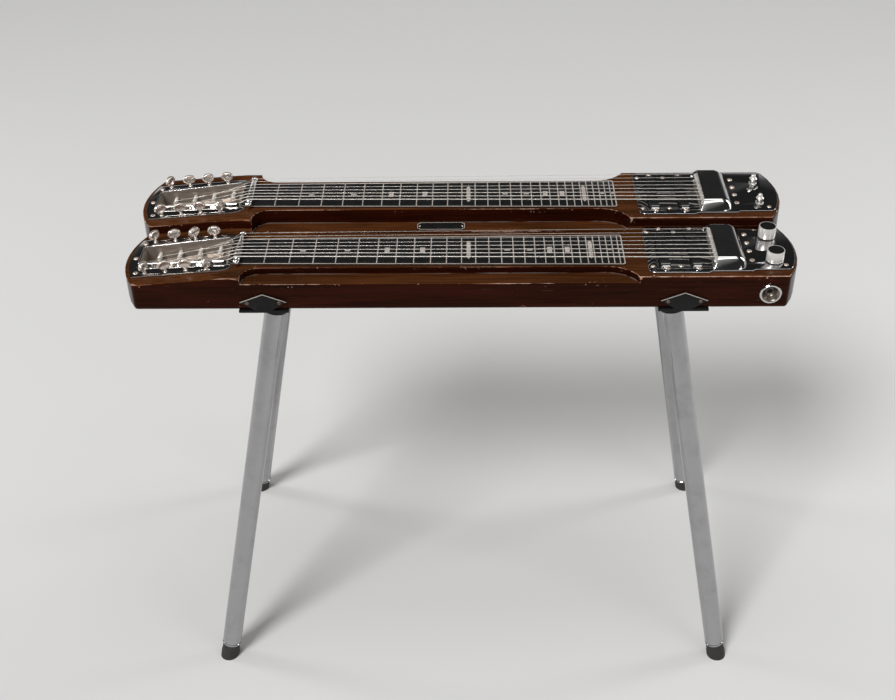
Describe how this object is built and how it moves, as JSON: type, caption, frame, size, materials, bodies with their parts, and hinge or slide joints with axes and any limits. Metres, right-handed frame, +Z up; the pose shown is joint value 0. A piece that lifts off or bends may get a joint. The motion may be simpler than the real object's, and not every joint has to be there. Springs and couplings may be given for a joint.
{
  "type": "double-neck lap steel guitar",
  "caption": "Console lap steel guitar: two solid wooden necks side by side on four splayed chrome legs, with geared tuners, knobs and toggle switches.",
  "frame": {"origin": "on the floor, under the middle of the two planks", "axes": "+X along the strings from the tuners to the controls, +Y from the player to the rear neck, +Z up"},
  "size_m": [0.812, 0.3756, 0.6138],
  "materials": {
    "stained_wood": "gloss lacquer, worn",
    "printed_plate": "satin black print with off-white lines",
    "nickel_buttons": "worn nickel",
    "post_steel": "satin steel",
    "pickup_black": "black",
    "string_steel": "wound and plain steel",
    "black_enamel": "black enamel with off-white lines",
    "mirror_plate": "mirror chrome",
    "bright_chrome": "bright chrome"
  },
  "bodies": {
    "console": {"front_body": "stained_wood", "front_bridge_and_strings": "string_steel", "front_bridge_cover": "bright_chrome", "front_control_plate": "mirror_plate", "front_fretboard": "printed_plate", "front_left_leg": "bright_chrome", "front_nut_bar": "bright_chrome", "front_pickups": "pickup_black", "front_right_leg": "bright_chrome", "front_tuner_pan": "mirror_plate", "jack_cup": "bright_chrome", "left_leg_rail": "black_enamel", "rear_body": "stained_wood", "rear_bridge_and_strings": "string_steel", "rear_bridge_cover": "bright_chrome", "rear_control_plate": "mirror_plate", "rear_fretboard": "printed_plate", "rear_left_leg": "bright_chrome", "rear_nut_bar": "bright_chrome", "rear_pickups": "pickup_black", "rear_right_leg": "bright_chrome", "rear_tuner_pan": "mirror_plate", "right_leg_rail": "black_enamel"},
    "front_key_1": {"front_key_1": "nickel_buttons"},
    "front_post_1": {"front_post_1": "post_steel"},
    "front_key_2": {"front_key_2": "nickel_buttons"},
    "front_post_2": {"front_post_2": "post_steel"},
    "front_key_3": {"front_key_3": "nickel_buttons"},
    "front_post_3": {"front_post_3": "post_steel"},
    "front_key_4": {"front_key_4": "nickel_buttons"},
    "front_post_4": {"front_post_4": "post_steel"},
    "front_key_5": {"front_key_5": "nickel_buttons"},
    "front_post_5": {"front_post_5": "post_steel"},
    "front_key_6": {"front_key_6": "nickel_buttons"},
    "front_post_6": {"front_post_6": "post_steel"},
    "front_key_7": {"front_key_7": "nickel_buttons"},
    "front_post_7": {"front_post_7": "post_steel"},
    "front_key_8": {"front_key_8": "nickel_buttons"},
    "front_post_8": {"front_post_8": "post_steel"},
    "rear_key_1": {"rear_key_1": "nickel_buttons"},
    "rear_post_1": {"rear_post_1": "post_steel"},
    "rear_key_2": {"rear_key_2": "nickel_buttons"},
    "rear_post_2": {"rear_post_2": "post_steel"},
    "rear_key_3": {"rear_key_3": "nickel_buttons"},
    "rear_post_3": {"rear_post_3": "post_steel"},
    "rear_key_4": {"rear_key_4": "nickel_buttons"},
    "rear_post_4": {"rear_post_4": "post_steel"},
    "rear_key_5": {"rear_key_5": "nickel_buttons"},
    "rear_post_5": {"rear_post_5": "post_steel"},
    "rear_key_6": {"rear_key_6": "nickel_buttons"},
    "rear_post_6": {"rear_post_6": "post_steel"},
    "rear_key_7": {"rear_key_7": "nickel_buttons"},
    "rear_post_7": {"rear_post_7": "post_steel"},
    "rear_key_8": {"rear_key_8": "nickel_buttons"},
    "rear_post_8": {"rear_post_8": "post_steel"},
    "volume_knob": {"volume_knob": "bright_chrome"},
    "tone_knob": {"tone_knob": "bright_chrome"},
    "pickup_switch": {"pickup_switch": "bright_chrome"},
    "neck_switch": {"neck_switch": "bright_chrome"}
  },
  "joints": [
    {"name": "front_key_1_turn", "type": "hinge", "parent": "console", "child": "front_key_1", "pos_m": [-0.37613, -0.09575, 0.57966], "axis": [-0.083, 0, 0.9965], "continuous": true},
    {"name": "front_post_1_turn", "type": "hinge", "parent": "console", "child": "front_post_1", "pos_m": [-0.36783, -0.09575, 0.57393], "axis": [0, 1, 0], "continuous": true},
    {"name": "front_key_2_turn", "type": "hinge", "parent": "console", "child": "front_key_2", "pos_m": [-0.35122, -0.09575, 0.58173], "axis": [-0.083, 0, 0.9965], "continuous": true},
    {"name": "front_post_2_turn", "type": "hinge", "parent": "console", "child": "front_post_2", "pos_m": [-0.34292, -0.09575, 0.576], "axis": [0, 1, 0], "continuous": true},
    {"name": "front_key_3_turn", "type": "hinge", "parent": "console", "child": "front_key_3", "pos_m": [-0.32631, -0.09575, 0.58381], "axis": [-0.083, 0, 0.9965], "continuous": true},
    {"name": "front_post_3_turn", "type": "hinge", "parent": "console", "child": "front_post_3", "pos_m": [-0.318, -0.09575, 0.57808], "axis": [0, 1, 0], "continuous": true},
    {"name": "front_key_4_turn", "type": "hinge", "parent": "console", "child": "front_key_4", "pos_m": [-0.30139, -0.09575, 0.58588], "axis": [-0.083, 0, 0.9965], "continuous": true},
    {"name": "front_post_4_turn", "type": "hinge", "parent": "console", "child": "front_post_4", "pos_m": [-0.29309, -0.09575, 0.58016], "axis": [0, 1, 0], "continuous": true},
    {"name": "front_key_5_turn", "type": "hinge", "parent": "console", "child": "front_key_5", "pos_m": [-0.37613, -0.02375, 0.57966], "axis": [-0.083, 0, 0.9965], "continuous": true},
    {"name": "front_post_5_turn", "type": "hinge", "parent": "console", "child": "front_post_5", "pos_m": [-0.36783, -0.02375, 0.57393], "axis": [0, 1, 0], "continuous": true},
    {"name": "front_key_6_turn", "type": "hinge", "parent": "console", "child": "front_key_6", "pos_m": [-0.35122, -0.02375, 0.58173], "axis": [-0.083, 0, 0.9965], "continuous": true},
    {"name": "front_post_6_turn", "type": "hinge", "parent": "console", "child": "front_post_6", "pos_m": [-0.34292, -0.02375, 0.576], "axis": [0, 1, 0], "continuous": true},
    {"name": "front_key_7_turn", "type": "hinge", "parent": "console", "child": "front_key_7", "pos_m": [-0.32631, -0.02375, 0.58381], "axis": [-0.083, 0, 0.9965], "continuous": true},
    {"name": "front_post_7_turn", "type": "hinge", "parent": "console", "child": "front_post_7", "pos_m": [-0.318, -0.02375, 0.57808], "axis": [0, 1, 0], "continuous": true},
    {"name": "front_key_8_turn", "type": "hinge", "parent": "console", "child": "front_key_8", "pos_m": [-0.30139, -0.02375, 0.58588], "axis": [-0.083, 0, 0.9965], "continuous": true},
    {"name": "front_post_8_turn", "type": "hinge", "parent": "console", "child": "front_post_8", "pos_m": [-0.29309, -0.02375, 0.58016], "axis": [0, 1, 0], "continuous": true},
    {"name": "rear_key_1_turn", "type": "hinge", "parent": "console", "child": "rear_key_1", "pos_m": [-0.37613, 0.02375, 0.58956], "axis": [-0.083, 0, 0.9965], "continuous": true},
    {"name": "rear_post_1_turn", "type": "hinge", "parent": "console", "child": "rear_post_1", "pos_m": [-0.36783, 0.02375, 0.58383], "axis": [0, 1, 0], "continuous": true},
    {"name": "rear_key_2_turn", "type": "hinge", "parent": "console", "child": "rear_key_2", "pos_m": [-0.35122, 0.02375, 0.59163], "axis": [-0.083, 0, 0.9965], "continuous": true},
    {"name": "rear_post_2_turn", "type": "hinge", "parent": "console", "child": "rear_post_2", "pos_m": [-0.34292, 0.02375, 0.5859], "axis": [0, 1, 0], "continuous": true},
    {"name": "rear_key_3_turn", "type": "hinge", "parent": "console", "child": "rear_key_3", "pos_m": [-0.32631, 0.02375, 0.59371], "axis": [-0.083, 0, 0.9965], "continuous": true},
    {"name": "rear_post_3_turn", "type": "hinge", "parent": "console", "child": "rear_post_3", "pos_m": [-0.318, 0.02375, 0.58798], "axis": [0, 1, 0], "continuous": true},
    {"name": "rear_key_4_turn", "type": "hinge", "parent": "console", "child": "rear_key_4", "pos_m": [-0.30139, 0.02375, 0.59578], "axis": [-0.083, 0, 0.9965], "continuous": true},
    {"name": "rear_post_4_turn", "type": "hinge", "parent": "console", "child": "rear_post_4", "pos_m": [-0.29309, 0.02375, 0.59006], "axis": [0, 1, 0], "continuous": true},
    {"name": "rear_key_5_turn", "type": "hinge", "parent": "console", "child": "rear_key_5", "pos_m": [-0.37613, 0.09575, 0.58956], "axis": [-0.083, 0, 0.9965], "continuous": true},
    {"name": "rear_post_5_turn", "type": "hinge", "parent": "console", "child": "rear_post_5", "pos_m": [-0.36783, 0.09575, 0.58383], "axis": [0, 1, 0], "continuous": true},
    {"name": "rear_key_6_turn", "type": "hinge", "parent": "console", "child": "rear_key_6", "pos_m": [-0.35122, 0.09575, 0.59163], "axis": [-0.083, 0, 0.9965], "continuous": true},
    {"name": "rear_post_6_turn", "type": "hinge", "parent": "console", "child": "rear_post_6", "pos_m": [-0.34292, 0.09575, 0.5859], "axis": [0, 1, 0], "continuous": true},
    {"name": "rear_key_7_turn", "type": "hinge", "parent": "console", "child": "rear_key_7", "pos_m": [-0.32631, 0.09575, 0.59371], "axis": [-0.083, 0, 0.9965], "continuous": true},
    {"name": "rear_post_7_turn", "type": "hinge", "parent": "console", "child": "rear_post_7", "pos_m": [-0.318, 0.09575, 0.58798], "axis": [0, 1, 0], "continuous": true},
    {"name": "rear_key_8_turn", "type": "hinge", "parent": "console", "child": "rear_key_8", "pos_m": [-0.30139, 0.09575, 0.59578], "axis": [-0.083, 0, 0.9965], "continuous": true},
    {"name": "rear_post_8_turn", "type": "hinge", "parent": "console", "child": "rear_post_8", "pos_m": [-0.29309, 0.09575, 0.59006], "axis": [0, 1, 0], "continuous": true},
    {"name": "volume_knob_turn", "type": "hinge", "parent": "console", "child": "volume_knob", "pos_m": [0.375, -0.03225, 0.5885], "axis": [0, 0, 1], "range_deg": [-150, 150]},
    {"name": "tone_knob_turn", "type": "hinge", "parent": "console", "child": "tone_knob", "pos_m": [0.375, -0.08725, 0.5885], "axis": [0, 0, 1], "range_deg": [-150, 150]},
    {"name": "pickup_switch_throw", "type": "hinge", "parent": "console", "child": "pickup_switch", "pos_m": [0.377, 0.03475, 0.5944], "axis": [1, 0, 0], "range_deg": [-12, 12]},
    {"name": "neck_switch_throw", "type": "hinge", "parent": "console", "child": "neck_switch", "pos_m": [0.377, 0.08475, 0.5944], "axis": [1, 0, 0], "range_deg": [-12, 12]}
  ],
  "couplings": [
    {"joint": "front_post_1_turn", "follows": "front_key_1_turn", "ratio": -0.071429},
    {"joint": "front_post_2_turn", "follows": "front_key_2_turn", "ratio": -0.071429},
    {"joint": "front_post_3_turn", "follows": "front_key_3_turn", "ratio": -0.071429},
    {"joint": "front_post_4_turn", "follows": "front_key_4_turn", "ratio": -0.071429},
    {"joint": "front_post_5_turn", "follows": "front_key_5_turn", "ratio": -0.071429},
    {"joint": "front_post_6_turn", "follows": "front_key_6_turn", "ratio": -0.071429},
    {"joint": "front_post_7_turn", "follows": "front_key_7_turn", "ratio": -0.071429},
    {"joint": "front_post_8_turn", "follows": "front_key_8_turn", "ratio": -0.071429},
    {"joint": "rear_post_1_turn", "follows": "rear_key_1_turn", "ratio": -0.071429},
    {"joint": "rear_post_2_turn", "follows": "rear_key_2_turn", "ratio": -0.071429},
    {"joint": "rear_post_3_turn", "follows": "rear_key_3_turn", "ratio": -0.071429},
    {"joint": "rear_post_4_turn", "follows": "rear_key_4_turn", "ratio": -0.071429},
    {"joint": "rear_post_5_turn", "follows": "rear_key_5_turn", "ratio": -0.071429},
    {"joint": "rear_post_6_turn", "follows": "rear_key_6_turn", "ratio": -0.071429},
    {"joint": "rear_post_7_turn", "follows": "rear_key_7_turn", "ratio": -0.071429},
    {"joint": "rear_post_8_turn", "follows": "rear_key_8_turn", "ratio": -0.071429}
  ]
}
